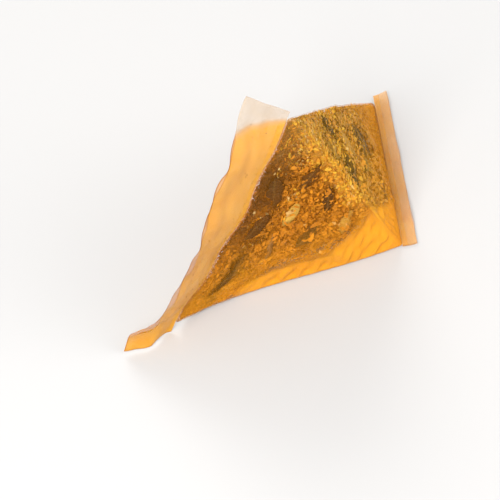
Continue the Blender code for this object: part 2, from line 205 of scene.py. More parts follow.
def swell(points, face, shares):
    """How far the mesh stands out of the flat face: a crown, folds, and fine creases."""
    out = np.zeros(face.shape)
    for f, corners in enumerate(FACES):
        mask = face == f
        a, b, c = (np.maximum(0, shares[mask][:, i]) for i in corners)
        product = 27 * a * b * c
        if f == TABLE:
            out[mask] = -TABLE_DENT * product**0.5 * (1 + field(points[mask], LUMPS))
            continue
        across = (b - c) / np.maximum(b + c, 1e-6)
        fold = np.cos(across * FOLDS * math.pi + 3 * a) * product**0.5
        lift = FACE_BULGE * product**0.8 + FOLD_DEPTH * fold * (a + 0.3)
        loose = slackness(shares[mask])
        at = points[mask]
        off_edges = smooth(0.0, 0.05, np.minimum(np.minimum(a, b), c))
        out[mask] = lift + off_edges * (
            LUMP_HEIGHT * (1 - loose) * field(at, LUMPS)
            + (CREASE_HEIGHT + SLACK_CREASE_HEIGHT * loose) * field(at, CREASES)
            + PUCKER_HEIGHT * (1 - loose) * field(at, PUCKERS)
            - SLACK_SINK * loose * product**0.3
        )
    return out


def drawn_in(points):
    """How far the slack low edge pulls points in under the bag."""
    edge = CORNERS[FRONT] - CORNERS[LOW]
    rel = points - CORNERS[LOW]
    along = rel @ edge / (edge @ edge)
    off = np.linalg.norm(rel - along[..., None] * edge, axis=-1)
    along = np.clip(along, 0, 1)
    pull = EDGE_DRAW * 27 / 4 * along * (1 - along) ** 2 * np.exp(-((off / EDGE_REACH) ** 2))
    return pull[..., None] * unit(np.cross(UP, edge))


def soften(points):
    """The wet seam's sway and the drawn-in low edge, which every piece near them follows."""
    rel = points - CORNERS[LOW]
    along = rel @ SEAM_DIRECTION / SEAM_LENGTH
    off = np.linalg.norm(rel - along[..., None] * SEAM, axis=-1)
    share = np.exp(-((off / SWAY_REACH) ** 2)) * smooth(0, SWAY_FADE, points[..., 2])
    along = np.clip(along, 0, 1)
    wave = SEAM_WAVE * np.cos(2 * math.pi * SEAM_WAVES * (along - 0.55))
    sway = (SEAM_BOW + wave) * np.sin(math.pi * along) * share
    return points - SEAM_OUTWARDS * sway[..., None] + drawn_in(points)


def under_skin(directions, depth):
    """The points in these directions that lie this deep under the outside of the mesh."""
    radius, face, shares = meet(directions)
    hit = CENTRE + directions * radius[..., None]
    radius = radius + swell(hit, face, shares)
    scale = radius * (1 - np.asarray(depth) / INRADIUS)
    points = soften(CENTRE + directions * scale[..., None])
    points[..., 2] = np.maximum(points[..., 2], 0.0)
    return points


def bed_depth(directions):
    """How deep the bed's surface lies: at the mesh in the corners, under the pieces elsewhere."""
    radius, face, shares = meet(directions)
    hit = CENTRE + directions * radius[..., None]
    corner = smooth(0.72, 0.84, shares.max(-1))
    on_table = smooth(0.0, 0.06, np.sort(shares, -1)[..., 1])
    corner = np.where(face == TABLE, on_table, corner)
    depth = BED_DEPTH + (WALL_DEPTH - BED_DEPTH) * corner
    lump = np.where(face == TABLE, 0.0, BED_LUMP_HEIGHT * (1 + field(hit, BED_LUMPS)))
    return depth + lump + BED_HOLLOW * slackness(shares)


def edge_of(shares):
    """One at an edge or corner, zero well inside a face, and zero where the bag is slack."""
    near_edge = smooth(*AT_EDGE, np.sort(shares, -1)[..., 1])
    return np.maximum(near_edge, smooth(*IN_CORNER, shares.max(-1))) * (1 - slackness(shares))


def make(name, points, faces, material, tints=None, smooth_shading=True, uvs=None):
    """An object that moves with the bag, from points in millimetres."""
    mesh = bpy.data.meshes.new(name)
    mesh.from_pydata((np.asarray(points) * MM).tolist(), [], [list(map(int, f)) for f in faces])
    mesh.update()
    mesh.polygons.foreach_set("use_smooth", [smooth_shading] * len(mesh.polygons))
    if tints is not None:
        colours = np.ones((len(points), 4), np.float32)
        colours[:, : np.shape(tints)[1]] = tints
        layer = mesh.color_attributes.new("tint", "FLOAT_COLOR", "POINT")
        layer.data.foreach_set("color", colours.ravel())
    if uvs is not None:
        layer = mesh.uv_layers.new(name="weave")
        loops = np.zeros(len(mesh.loops), np.int64)
        mesh.loops.foreach_get("vertex_index", loops)
        layer.data.foreach_set("uv", np.asarray(uvs, np.float32)[loops].ravel())
    mesh.materials.append(material)
    obj = bpy.data.objects.new(name, mesh)
    bpy.context.scene.collection.objects.link(obj)
    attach(obj, "root")
    return obj


# Materials


class Nodes:
    """A material with a Principled shader and a short way to add nodes to it."""

    def __init__(self, name):
        self.material = bpy.data.materials.new(name)
        self.material.use_nodes = True
        self.tree = self.material.node_tree
        self.shader = self.tree.nodes["Principled BSDF"]

    def add(self, kind, **inputs):
        node = self.tree.nodes.new(kind)
        for key, value in inputs.items():
            self.put(node, key, value)
        return node

    def put(self, node, key, value):
        socket = node.inputs[{"a": 0, "b": 1, "c": 2}.get(key, key.replace("_", " "))]
        if isinstance(value, bpy.types.NodeSocket):
            self.tree.links.new(value, socket)
        else:
            socket.default_value = value

    def math(self, operation, a, b=0.0, c=0.0, clamp=False):
        node = self.add("ShaderNodeMath", a=a, b=b, c=c)
        node.operation = operation
        node.use_clamp = clamp
        return node.outputs[0]

    def mix(self, factor, first, second, blend="MIX"):
        node = self.tree.nodes.new("ShaderNodeMix")
        node.data_type = "RGBA"
        node.blend_type = blend
        for index, value in ((0, factor), (6, first), (7, second)):
            if isinstance(value, bpy.types.NodeSocket):
                self.tree.links.new(value, node.inputs[index])
            elif index == 0:
                node.inputs[index].default_value = value
            else:
                node.inputs[index].default_value = (*value, 1)
        return node.outputs[2]

    def noise(self, scale, detail, roughness=0.55):
        node = self.add("ShaderNodeTexNoise", Scale=scale, Detail=detail, Roughness=roughness)
        where = self.tree.nodes.new("ShaderNodeTexCoord").outputs["Object"]
        self.tree.links.new(where, node.inputs["Vector"])
        return node.outputs["Fac"]

    def ramp(self, value, low, high):
        node = self.add("ShaderNodeMapRange", Value=value)
        node.inputs["From Min"].default_value = low
        node.inputs["From Max"].default_value = high
        return node.outputs["Result"]

    def bump(self, height, distance, strength=1.0):
        node = self.add("ShaderNodeBump", Height=height, Distance=distance, Strength=strength)
        self.put(self.shader, "Normal", node.outputs["Normal"])

    def finish(self, roughness, specular=0.5, colour=None):
        if colour is not None:
            self.put(self.shader, "Base_Color", colour)
        self.put(self.shader, "Roughness", roughness)
        self.shader.inputs["Specular IOR Level"].default_value = specular
        return self.material


THREAD_PITCH = 0.26
THREAD_DENSITY = 0.12
FILM_DENSITY = 0.05
BLOTCH_DENSITY = 0.05
BLOTCH_TINT = (0.90, 0.80, 0.62)
THREAD_TINT = (0.90, 0.62, 0.25)
BLACK = (0.0, 0.0, 0.0)
WHITE = (1.0, 1.0, 1.0)
MOTTLE_CONTRAST = 0.3


def sheer_material():
    """Sheer woven mesh, stained amber by the brew and paler above the tide mark."""
    n = Nodes("sheer_mesh")
    uv = n.tree.nodes.new("ShaderNodeUVMap")
    uv.uv_map = "weave"
    split = n.add("ShaderNodeSeparateXYZ", Vector=uv.outputs["UV"])
    threads = []
    for axis in ("X", "Y"):
        turn = n.math("MULTIPLY", split.outputs[axis], 2 * math.pi / THREAD_PITCH)
        threads.append(n.math("MULTIPLY_ADD", n.math("SINE", turn), 0.5, 0.5))
    cover = n.math("MAXIMUM", n.math("POWER", threads[0], 3.0), n.math("POWER", threads[1], 3.0))
    tint = n.add("ShaderNodeAttribute")
    tint.attribute_name = "tint"
    blotch = n.ramp(n.noise(160.0, 4.0), 0.32, 0.68)
    colour = n.mix(blotch, WHITE, BLOTCH_TINT)
    colour = n.mix(1.0, tint.outputs["Color"], colour, "MULTIPLY")
    colour = n.mix(n.math("MULTIPLY", cover, 0.10), colour, THREAD_TINT)
    film = n.math("MULTIPLY_ADD", blotch, BLOTCH_DENSITY, FILM_DENSITY)
    alpha = n.math("ADD", film, n.math("MULTIPLY", cover, THREAD_DENSITY))
    alpha = n.math("ADD", alpha, tint.outputs["Alpha"], clamp=True)
    n.put(n.shader, "Alpha", alpha)
    n.bump(cover, 0.00006, 0.6)
    return n.finish(0.38, 0.12, colour)


def tinted_material(name, grain, roughness, bump, specular=0.12):
    """Wet plant matter: each piece's own tint, mottled, with a fine grain."""
    n = Nodes(name)
    tint = n.add("ShaderNodeAttribute")
    tint.attribute_name = "tint"
    mottle = n.ramp(n.noise(grain, 5.0, 0.65), 0.32, 0.68)
    dark = n.mix(MOTTLE_CONTRAST, tint.outputs["Color"], BLACK)
    colour = n.mix(mottle, dark, tint.outputs["Color"])
    n.bump(n.noise(grain * 2.2, 4.0, 0.6), bump)
    rough = n.math("MULTIPLY_ADD", mottle, 0.2, roughness)
    return n.finish(rough, specular, colour)


# The sheer mesh

FACE_STEPS = 110
PAST_WELD = (LOW, FRONT, BACK, APEX)  # each face's corner across from its weld
TIDE_MARK = 48.6  # height up to which the brew stained the mesh
TIDE_SLOPE = 0.18
TIDE_BLUR = 1.2
TIDE_LINE = 0.45
SLACK_DENSITY = 0.58
LOW_DENSITY = 0.18
# How much denser the film is along the painted shadow line at the welds.
SEAM_SHADE_DENSITY = 0.6

IVORY = np.array((0.54, 0.49, 0.47))
AMBER = np.array((0.76, 0.365, 0.008))
DEEP_AMBER = np.array((0.95, 0.40, 0.010))
OVER_TEA = np.array((0.62, 0.20, 0.004))
GOLD = np.array((0.82, 0.46, 0.030))
# Brown of the painted shadow line along the welds; the flaps' outer edges and folded ends take it too.
SEAM_SHADE_AND_EDGE_BROWN = np.array((0.42, 0.15, 0.006))


def face_grid(face, steps):
    """Points and triangles of one flat face of the tetrahedron."""
    a, b, c = (CORNERS[i] for i in FACES[face])
    index, points = {}, []
    for i in range(steps + 1):
        for j in range(steps + 1 - i):
            index[i, j] = len(points)
            points.append(a * (steps - i - j) / steps + b * i / steps + c * j / steps)
    faces = []
    for i in range(steps):
        for j in range(steps - i):
            faces.append((index[i, j], index[i + 1, j], index[i, j + 1]))
            if i + j < steps - 1:
                faces.append((index[i + 1, j], index[i + 1, j + 1], index[i, j + 1]))
    return np.array(points), faces


def weave_uv(points, face):
    """Places on the flat sheet, in millimetres: along the face's weld and away from it."""
    if face in (SEAM_FRONT, SEAM_BACK):
        root, end = CORNERS[LOW], CORNERS[APEX]
    else:
        root, end = CORNERS[FRONT], CORNERS[BACK]
    along = unit(end - root)
    away = np.cross(NORMALS[face], along)
    rel = points - root
    return np.stack([rel @ along, rel @ away], -1)


def blend(first, second, share):
    share = np.reshape(share, np.shape(share) + (1,))
    return first + (second - first) * share


def stain_of(points, colour, dense):
    """The film's colour, ivory above the tide mark, and how much denser it is than bare mesh."""
    level = points[:, 2] + TIDE_SLOPE * (points[:, 0] - CORNERS[APEX][0])
    dry = 0.92 * smooth(TIDE_MARK - TIDE_BLUR, TIDE_MARK + TIDE_BLUR, level)
    tide = np.exp(-(((level - TIDE_MARK) / TIDE_LINE) ** 2))
    stain = np.zeros((len(points), 4))
    stain[:, :3] = blend(blend(colour, IVORY, dry), 0.8 * AMBER, 0.5 * tide)
    stain[:, 3] = dense * (1 - 0.5 * dry) + 0.1 * tide
    return stain


def body_of_bag(out):
    """The four faces of the bag, one layer of mesh."""
    dark_places = [place for place in all_seats() if place[1] in DARK]
    for face in range(4):
        points, faces = face_grid(face, FACE_STEPS)
        directions = unit(points - CENTRE)
        skin = under_skin(directions, 0.0)
        shares = meet(directions)[2]
        loose = slackness(shares)
        low = smooth(24.0, 5.0, skin[:, 2])
        pressed = smooth(0.0, 0.5, cover(points, dark_places))
        colour = blend(GOLD if face == FAR else OVER_TEA, DEEP_AMBER, np.maximum(loose, low))
        dense = SLACK_DENSITY * smooth(0.0, 0.5, loose)
        dense = np.maximum(dense, LOW_DENSITY * low * (1 - pressed))
        # A painted shadow line along each weld: the film is browner and denser there, except where the
        # bag is slack.
        rim = smooth(0.03, 0.0, shares[:, PAST_WELD[face]]) * (1 - loose)
        colour = blend(colour, SEAM_SHADE_AND_EDGE_BROWN, rim)
        dense = np.maximum(dense, SEAM_SHADE_DENSITY * rim)
        out.append((skin, faces, stain_of(skin, colour, dense), weave_uv(points, face)))


def plate_direction(along):
    """Which way the wide flap stands out, a share of the way up the seam."""
    middle = (CORNERS[BACK] + CORNERS[FRONT]) / 2
    outwards = (CORNERS[LOW] + CORNERS[APEX]) / 2 - middle
    outwards = unit(outwards - SEAM_DIRECTION * (outwards @ SEAM_DIRECTION))
    backwards = unit(np.cross(outwards, SEAM_DIRECTION))
    top, upper, lower, foot = FLAP_LEANS
    lean = lower + (upper - lower) * smooth(0.38, 0.6, along)
    lean = lean + (top - upper) * smooth(0.74, 1.0, along)
    lean = lean + (foot - lower) * smooth(0.16, 0.0, along)
    spread = FLAP_TIP_DROOP * smooth(0.4, 0.0, along)
    lean, spread = lean[..., None], spread[..., None]
    direction = outwards * np.cos(lean) + backwards * np.sin(lean) - SEAM_DIRECTION * spread
    return unit(direction), backwards


FOOT_HEADING = np.array([-0.40, -0.92, 0.0])  # the way the flap's foot curls on the table
FOOT_SWEEP = 3.0
FOOT_LIFT = 1.4
NARROW_HEIGHT = 0.3


def wide_plane(along, across):
    """The middle of the wide flap, a share up the seam and this far past the first weld."""
    direction, backwards = plate_direction(along)
    free = across / WIDE_FLAP
    ripple = FLAP_RIPPLE * np.sin(3.4 * math.pi * along + 0.6) * free**1.5
    foot = smooth(0.12, 0.0, along) * smooth(0.08, 0.45, free)
    middle = CORNERS[LOW] + SEAM * along[..., None] + direction * across[..., None]
    middle = middle + ripple[..., None] * backwards + FOOT_SWEEP * foot[..., None] * FOOT_HEADING
    return middle + (FOOT_LIFT * np.sin(math.pi * foot) * free)[..., None] * UP


def narrow_plane(along, across):
    """The middle of the narrow flap, which lies on the table past the second weld."""
    edge = CORNERS[BACK] - CORNERS[FRONT]
    rise = (0.5 - 0.5 * np.cos(5 * math.pi * along)) * (across / NARROW_FLAP) ** 2
    middle = CORNERS[FRONT] + edge * along[..., None] + UP * NARROW_HEIGHT
    middle = middle + unit(np.cross(edge, UP)) * across[..., None]
    return middle + (NARROW_LIFT * rise)[..., None] * UP


FLAP_COLUMNS = 30
FLAP_WOBBLE = 0.16
WELD_GAP = 0.05  # half the gap between the layers at the weld, and how much more it is when free
FREE_GAP = 0.16
WELD_RIB = 0.05
WELD_DENSITY = 0.1
OUTER_EDGE_DENSITY = 0.35
FOLDED_END_DENSITY = 0.2


def add_flap(out, plane_at, rows, width, length, seed, dense):
    """Two layers of mesh that are fused along the weld and folded into each other at both ends."""
    columns = FLAP_COLUMNS
    along = np.linspace(0, 1, rows)
    across = width * np.linspace(0, 1, columns) ** 1.1
    free = across / width
    plane = plane_at(*np.meshgrid(along, across, indexing="ij"))
    normals = unit(np.cross(np.gradient(plane, axis=1), np.gradient(plane, axis=0)))
    ends = smooth(0.0, 0.02, along) * smooth(1.0, 0.98, along)
    wobble = FLAP_WOBBLE * field(plane, waves(seed, 10, 3.0, 9.0)) * smooth(0.12, 0.6, free)[None]
    split = 1.2 + field(plane, waves(seed + 1, 8, 5.0, 12.0))
    open_by = WELD_GAP + FREE_GAP * smooth(0.15, 1.0, free)[None] * split
    welded = across < WELD_WIDTH
    ribs = WELD_RIB * np.cos(2 * math.pi * along * rows / 5)[:, None] * welded[None]
    for side in (-1, 1):
        gap = side * np.abs(open_by + ribs) * ends[:, None]
        points = plane + normals * (wobble + gap)[..., None]
        points = soften(points.reshape(-1, 3))
        points[:, 2] = np.maximum(points[:, 2], 0.03 + 0.1 * (side > 0))
        index = np.arange(rows * columns).reshape(rows, columns)
        quads = np.stack([index[:-1, :-1], index[:-1, 1:], index[1:, 1:], index[1:, :-1]], -1)
        thick = np.where(welded, WELD_DENSITY, 0.0) + dense
        thick = np.broadcast_to(thick, (rows, columns)).copy()
        thick[:, -1:] += OUTER_EDGE_DENSITY
        thick[:1] += FOLDED_END_DENSITY
        colour = np.broadcast_to(AMBER, (rows, columns, 3)).copy()
        colour[:, -1:] = SEAM_SHADE_AND_EDGE_BROWN
        colour[:1] = SEAM_SHADE_AND_EDGE_BROWN
        uv = np.stack(np.broadcast_arrays(length * along[:, None], -across[None]), -1)
        stain = stain_of(points, colour.reshape(-1, 3), thick.ravel())
        out.append((points, quads.reshape(-1, 4), stain, uv.reshape(-1, 2)))


def sheer_bag():
    """The whole sheet: four faces and both flaps, in one piece."""
    parts = []
    body_of_bag(parts)
    second_weld = float(np.linalg.norm(CORNERS[BACK] - CORNERS[FRONT]))
    add_flap(parts, wide_plane, rows=170, width=WIDE_FLAP, length=SEAM_LENGTH, seed=21, dense=0.54)
    add_flap(parts, narrow_plane, rows=110, width=NARROW_FLAP, length=second_weld, seed=31, dense=0.22)
    points = np.concatenate([p[0] for p in parts])
    tints = np.concatenate([p[2] for p in parts])
    uvs = np.concatenate([p[3] for p in parts])
    faces, start = [], 0
    for part in parts:
        faces.extend([[v + start for v in f] for f in np.asarray(part[1]).tolist()])
        start += len(part[0])
    bag = make("sheer_bag", points, faces, sheer_material(), tints, True, uvs)
    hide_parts("mesh_bag")


# The coarse pieces

SEAT_REACH = 4.0
LARGEST_SHARE = 0.62
MOST_SLACK = 0.3
TURN_SPREAD = math.radians(20)


class Seat:
    """A place for a coarse piece beside one face, with its own axes along and across it."""

    def __init__(self, face, centre, turn):
        self.centre = centre
        normal = NORMALS[face]
        seam_like = unit(SEAM_DIRECTION - normal * (SEAM_DIRECTION @ normal))
        side = np.cross(normal, seam_like)
        self.along = seam_like * math.cos(turn) + side * math.sin(turn)
        self.across = np.cross(normal, self.along)

    def flat_place(self, points):
        """Where points lie along and across this seat."""
        rel = points - self.centre
        return rel @ self.along, rel @ self.across

    def beside(self, points):
        """Whether points are near this seat's face."""
        return np.abs((points - self.centre) @ np.cross(self.along, self.across)) < SEAT_REACH

    def points(self, x, y, deeper):
        flat = self.centre + x[..., None] * self.along + y[..., None] * self.across
        return under_skin(unit(flat - CENTRE), WALL_DEPTH + deeper)


def place_on(face, shares):
    return sum(CORNERS[c] * s for c, s in zip(FACES[face], shares))


def seats(face, kinds):
    """Rows of places for coarse pieces beside a face."""
    middle = place_on(face, (1 / 3, 1 / 3, 1 / 3))
    for i, row in enumerate(kinds.split()):
        for j, letter in enumerate(row):
            k = PIECE_ROWS - 1 - i - j
            flat = place_on(face, [(n + 1 / 3) / PIECE_ROWS for n in (k, j, i)])
            place = middle + (flat - middle) * PIECE_INSET
            shares = meet(unit(place - CENTRE)[None])[2]
            firm = shares.max() < LARGEST_SHARE and slackness(shares)[0] < MOST_SLACK
            if letter in KINDS and firm:
                turn = TURN_SPREAD * math.sin(2.3 * i + 4.1 * j + 1)
                yield KINDS[letter], Seat(face, place, turn)


DARK = ("strip_01", "leaf_02", "leaf_04", "leaf_07")  # pressed against the mesh
BARE = DARK + ("petal_03", "petal_04", "petal_07")  # not strewn with fine tea
STRIP_SEAT = Seat(SEAM_FRONT, place_on(SEAM_FRONT, STRIP_PLACE), STRIP_TURN)


def all_seats():
    places = [("strip", STRIP_SEAT)]
    for face, kinds in zip((SEAM_FRONT, FAR, SEAM_BACK), LAYOUTS):
        places.extend(seats(face, kinds))
    counts = {}
    for kind, seat in places:
        counts[kind] = counts.get(kind, 0) + 1
        yield kind, f"{kind}_{counts[kind]:02d}", seat


def shell(rows, columns):
    """Faces of a closed thin piece: an upper grid, a lower grid and the rim between them."""
    index = np.arange(rows * columns).reshape(rows, columns)
    top = np.stack([index[:-1, :-1], index[:-1, 1:], index[1:, 1:], index[1:, :-1]], -1)
    low = top[..., ::-1] + rows * columns
    ring = np.concatenate([index[0, :-1], index[:-1, -1], index[-1, :0:-1], index[:0:-1, 0]])
    after = np.roll(ring, -1)
    rim = np.stack([after, ring, ring + rows * columns, after + rows * columns], -1)
    return np.concatenate([top.reshape(-1, 4), low.reshape(-1, 4), rim])


LEAF_TINTS = (
    (0.022, 0.012, 0.003),
    (0.050, 0.022, 0.004),
    (0.026, 0.018, 0.003),
    (0.075, 0.033, 0.005),
)
LEAF_VEIN = np.array((0.11, 0.075, 0.022))
PETAL_TINTS = ((0.54, 0.31, 0.035), (0.50, 0.27, 0.035), (0.57, 0.37, 0.07), (0.47, 0.22, 0.02))
PETAL_VEIN = np.array((0.58, 0.38, 0.09))
STEM_TINT = np.array((0.26, 0.13, 0.04))
BUD_TINT = np.array((0.50, 0.36, 0.10))
BLADE_THICKNESS = 0.16
STEM_RINGS = 60
STEM_SIDES = 14
BUD_RINGS = 40
BUD_SIDES = 24
PIECE_SEED = 400


def blade(kind, seat, rng, whole):
    """A leaf, strip or petal: a curled, veined plate with a torn or notched outline."""
    length, width, _, curl = SIZES[kind]
    rows, columns = (64, 17) if kind == "strip" else (44, 21)
    s = np.linspace(-1, 1, rows)[:, None]
    t = np.linspace(-1, 1, columns)[None]
    power = {"leaf": 0.45 + 0.5 * rng.random(), "strip": 0.4, "petal": 0.42}[kind]
    shift = 0.0 if kind == "strip" else 0.3 * (rng.random() - 0.5)
    half = np.maximum(0.05, 1 - s * s) ** power * (1 + shift * s)
    phase = rng.random(8) * 2 * math.pi
    torn = {"leaf": 0.4 if whole else 1.0, "strip": 0.6, "petal": 0.4}[kind]
    if kind == "leaf" and not whole:
        length = length * (0.78 + 0.22 * rng.random())
        width = width * (0.68 + 0.32 * rng.random())
    for side in (-1, 1):
        slow = 0.16 * np.sin(3.3 * s + phase[1 + side])
        slow = slow + 0.10 * np.sin(7.1 * s + phase[6 + (side > 0)])
        quick = 0.05 * np.sin(19 * s + phase[4 + side]) + 0.035 * np.sin(41 * s + phase[3])
        edge = torn * (slow + quick - 0.12)
        half = half * (1 + edge * (np.sign(t) == side))
    x = s * length / 2 * (1 - 0.10 * torn * np.abs(t + 0.4 * np.sin(phase[5]))) + 0 * t
    bend = 0.05 * width * np.sin(2.2 * s + phase[0])
    y = t * half * width / 2 + bend
    rib = np.exp(-((t / 0.09) ** 2)) * (1 - smooth(0.7, 1.0, s))
    if kind == "petal":
        veins = 0.5 + 0.5 * np.cos(9 * math.pi * t * half)
        rib = 0.35 * veins
    else:
        slant = np.sin(6.5 * (s * 2.2 - np.abs(t) * 0.55) + phase[2])
        veins = np.exp(-((slant / 0.25) ** 2)) * (np.abs(t) < 0.85)
    folded = np.abs(t) ** 2.2 * (0.75 + 0.25 * np.sin(5 * s + phase[5]))
    crumple = 0.10 * np.sin(9 * s + phase[1]) * np.cos(3 * t + phase[2])
    crumple = crumple + 0.05 * np.sin(23 * s + 5 * t)
    relief = 0.06 * rib + 0.02 * veins
    deeper = np.clip(curl * folded + crumple - relief + 0.12, 0.0, curl + 0.3)
    sheet = BLADE_THICKNESS * (1 - 0.4 * np.abs(t)) + 0 * s
    upper = seat.points(x, y, deeper)
    lower = seat.points(x, y, deeper + sheet)
    points = np.concatenate([upper.reshape(-1, 3), lower.reshape(-1, 3)])
    palette = PETAL_TINTS if kind == "petal" else LEAF_TINTS
    pick = 0 if whole and kind != "petal" else rng.integers(len(palette))
    base = np.array(palette[pick]) * (0.8 + 0.4 * rng.random())
    pale = PETAL_VEIN if kind == "petal" else LEAF_VEIN
    amount = np.clip(0.7 * rib + (0.35 if whole else 0.15) * veins, 0, 1)
    shade = base * (1 - amount[..., None]) + pale * amount[..., None]
    if kind == "petal":
        shade = shade * (1 - 0.45 * smooth(0.2, 1.0, -s))[..., None]
    tints = np.concatenate([shade.reshape(-1, 3), 0.8 * shade.reshape(-1, 3)])
    return points, shell(rows, columns), tints


def tube(seat, x, y, deeper, radius, sides):
    """A closed tube round a line in seat coordinates."""
    angle = np.linspace(0, 2 * math.pi, sides, endpoint=False)[None]
    r = radius[:, None]
    ys = y[:, None] + np.cos(angle) * r
    ds = deeper[:, None] + np.sin(angle) * r
    xs = np.broadcast_to(x[:, None], ys.shape)
    points = seat.points(xs, ys, ds).reshape(-1, 3)
    rows = len(x)
    index = np.arange(rows * sides).reshape(rows, sides)
    after = np.roll(index, -1, axis=1)
    quads = np.stack([index[:-1], after[:-1], after[1:], index[1:]], -1).reshape(-1, 4).tolist()
    return points, quads + [index[0][::-1].tolist(), index[-1].tolist()]


def stem(kind, seat, rng, whole):
    """A short bent twig with ridged bark and two nodes."""
    length, width = SIZES[kind][:2]
    s = np.linspace(-1, 1, STEM_RINGS)
    node = np.exp(-(((s - 0.25) / 0.06) ** 2)) + np.exp(-(((s + 0.55) / 0.05) ** 2))
    radius = width / 2 * (0.82 + 0.14 * node + 0.04 * np.sin(40 * s))
    bend = 0.09 * length * s * s
    points, faces = tube(seat, s * length / 2, bend, 0 * s + width / 2, radius, STEM_SIDES)
    tint = STEM_TINT * (0.8 + 0.3 * rng.random())
    bark = 0.75 + 0.25 * np.cos(np.arange(STEM_SIDES) * 2 * math.pi * 3 / STEM_SIDES)
    tints = tint * np.tile(bark, STEM_RINGS)[:, None]
    return points, faces, tints


def bud(kind, seat, rng, whole):
    """A small closed flower bud with overlapping scales."""
    length, width, room, _ = SIZES[kind]
    s = np.linspace(-0.98, 0.98, BUD_RINGS)
    round_off = np.sqrt(np.maximum(0.02, 1 - s * s)) * (1 - 0.28 * s)
    scales = 1 + 0.09 * np.abs(np.sin(8 * s))
    radius = np.minimum(width, room) / 2 * round_off * scales * 0.86
    points, faces = tube(seat, s * length / 2, 0 * s, 0 * s + room / 2, radius, BUD_SIDES)
    tint = BUD_TINT * (0.85 + 0.3 * rng.random())
    rings = 0.6 + 0.4 * np.abs(np.sin(8 * s))
    lines = 0.85 + 0.15 * np.cos(np.arange(BUD_SIDES) * math.pi / 2)
    tints = tint * (rings[:, None] * lines[None]).reshape(-1, 1)
    return points, faces, tints


def coarse_pieces():
    """Every leaf, strip, petal, stem and bud, in the place of its solid."""
    looks = {
        "leaf": tinted_material("dark_leaf", 900.0, 0.34, 0.00006, 0.1),
        "petal": tinted_material("yellow_petal", 1200.0, 0.38, 0.00004, 0.2),
        "stem": tinted_material("brown_stem", 1500.0, 0.45, 0.00005, 0.2),
        "bud": tinted_material("flower_bud", 1300.0, 0.5, 0.00005, 0.2),
    }
    looks["strip"] = looks["leaf"]
    makers = {"leaf": blade, "strip": blade, "petal": blade, "stem": stem, "bud": bud}
    for number, (kind, node, seat) in enumerate(all_seats()):
        rng = np.random.default_rng(PIECE_SEED + number)
        points, faces, tints = makers[kind](kind, seat, rng, node in BARE)
        piece = make("wet_" + node, points, faces, looks[kind], tints)
        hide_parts(node)


# The fine tea


TEA_COLOURS = np.array(
    [
        (0.014, 0.008, 0.002),
        (0.070, 0.027, 0.003),
        (0.250, 0.084, 0.005),
        (0.520, 0.175, 0.008),
        (0.800, 0.300, 0.012),
        (0.860, 0.520, 0.040),
        (0.860, 0.670, 0.300),
    ]
)
TEA_MIXES = {
    "seam": (0.60, 0.25, 0.09, 0.03, 0.015, 0.005, 0.010),
    "middle": (0.04, 0.08, 0.20, 0.33, 0.25, 0.08, 0.02),
    "low": (0.01, 0.03, 0.12, 0.38, 0.41, 0.04, 0.01),
    "far": (0.01, 0.02, 0.05, 0.12, 0.24, 0.44, 0.12),
    "apex": (0.03, 0.05, 0.08, 0.14, 0.14, 0.26, 0.30),
}
CLUSTERS = waves(17, 14, 3.0, 8.0)
ORIGIN = np.array(0.0)
FAR_SEAT = next(seat for _, node, seat in all_seats() if node == "leaf_07")
FAR_PATCH = FAR_SEAT.points(ORIGIN, ORIGIN, 0.5)
BED_STEPS = 70
BED_SEED = 50
FRAGMENT_COUNT = 24500
FRAGMENT_SEED = 61
CRUMB_COUNT = 4500
CRUMB_SEED = 71
SPECK_COUNT = 130
SPECK_SEED = 81
FACE_WEIGHTS = np.array([0.3, 1.15, 0.9, 1.1])  # how thickly each face is strewn


def tea_tint(points, rng):
    """Black along the seam and round the strip and a far leaf, orange low down, gold far off."""
    rel = points - CORNERS[LOW]
    along = rel @ SEAM_DIRECTION
    off = np.linalg.norm(rel - along[:, None] * SEAM_DIRECTION, axis=1)
    border = 2.8 + 3.4 * smooth(22, 42, along) + 1.2 * field(points, CLUSTERS)
    towards_far = points @ NORMALS[FAR] - CORNERS[APEX] @ NORMALS[FAR]
    x, y = STRIP_SEAT.flat_place(points)
    strip = smooth(2.4, 1.3, np.abs(y)) * smooth(12.5, 9.0, np.abs(x)) * STRIP_SEAT.beside(points)
    patch = smooth(5.2, 3.4, np.linalg.norm(points - FAR_PATCH, axis=1))
    shares = {
        "seam": (1.8 + 2.4 * smooth(22, 36, along)) * smooth(border + 1.5, border - 1.5, off)
        + 6.0 * strip
        + 5.0 * patch,
        "middle": 0.5 + 0 * off,
        "low": 2.4 * smooth(26.0, 10.0, points[:, 2]) + 0.5 * smooth(9.0, 20.0, off),
        "far": 4.0 * smooth(-4.5, -1.5, towards_far),
        "apex": 2.5 * smooth(17.0, 9.0, np.linalg.norm(points - CORNERS[APEX], axis=1)),
    }
    weights = sum(shares[k][:, None] * np.array(m) for k, m in TEA_MIXES.items())
    weights = weights / weights.sum(1, keepdims=True)
    steps = np.cumsum(weights, axis=1)
    chance = 0.75 * rng.random(len(points)) + 0.25 * (0.5 + 0.5 * field(points, CLUSTERS))
    pick = (chance[:, None] > steps).sum(1).clip(0, len(TEA_COLOURS) - 1)
    even = (0.45 + 0.25 * smooth(26.0, 10.0, points[:, 2]))[:, None]
    mixed = (1 - even) * TEA_COLOURS[pick] + even * (weights @ TEA_COLOURS)
    return mixed * (0.85 + 0.3 * rng.random((len(points), 1)))


def spots_on_faces(count, rng):
    """Random places on the raised faces, and a few on the table face."""
    weights = AREAS * FACE_WEIGHTS
    face = rng.choice(4, size=count, p=weights / weights.sum())
    mix = rng.dirichlet((1, 1, 1), size=count)
    corners = np.array([[CORNERS[i] for i in f] for f in FACES])
    return (corners[face] * mix[..., None]).sum(1), face


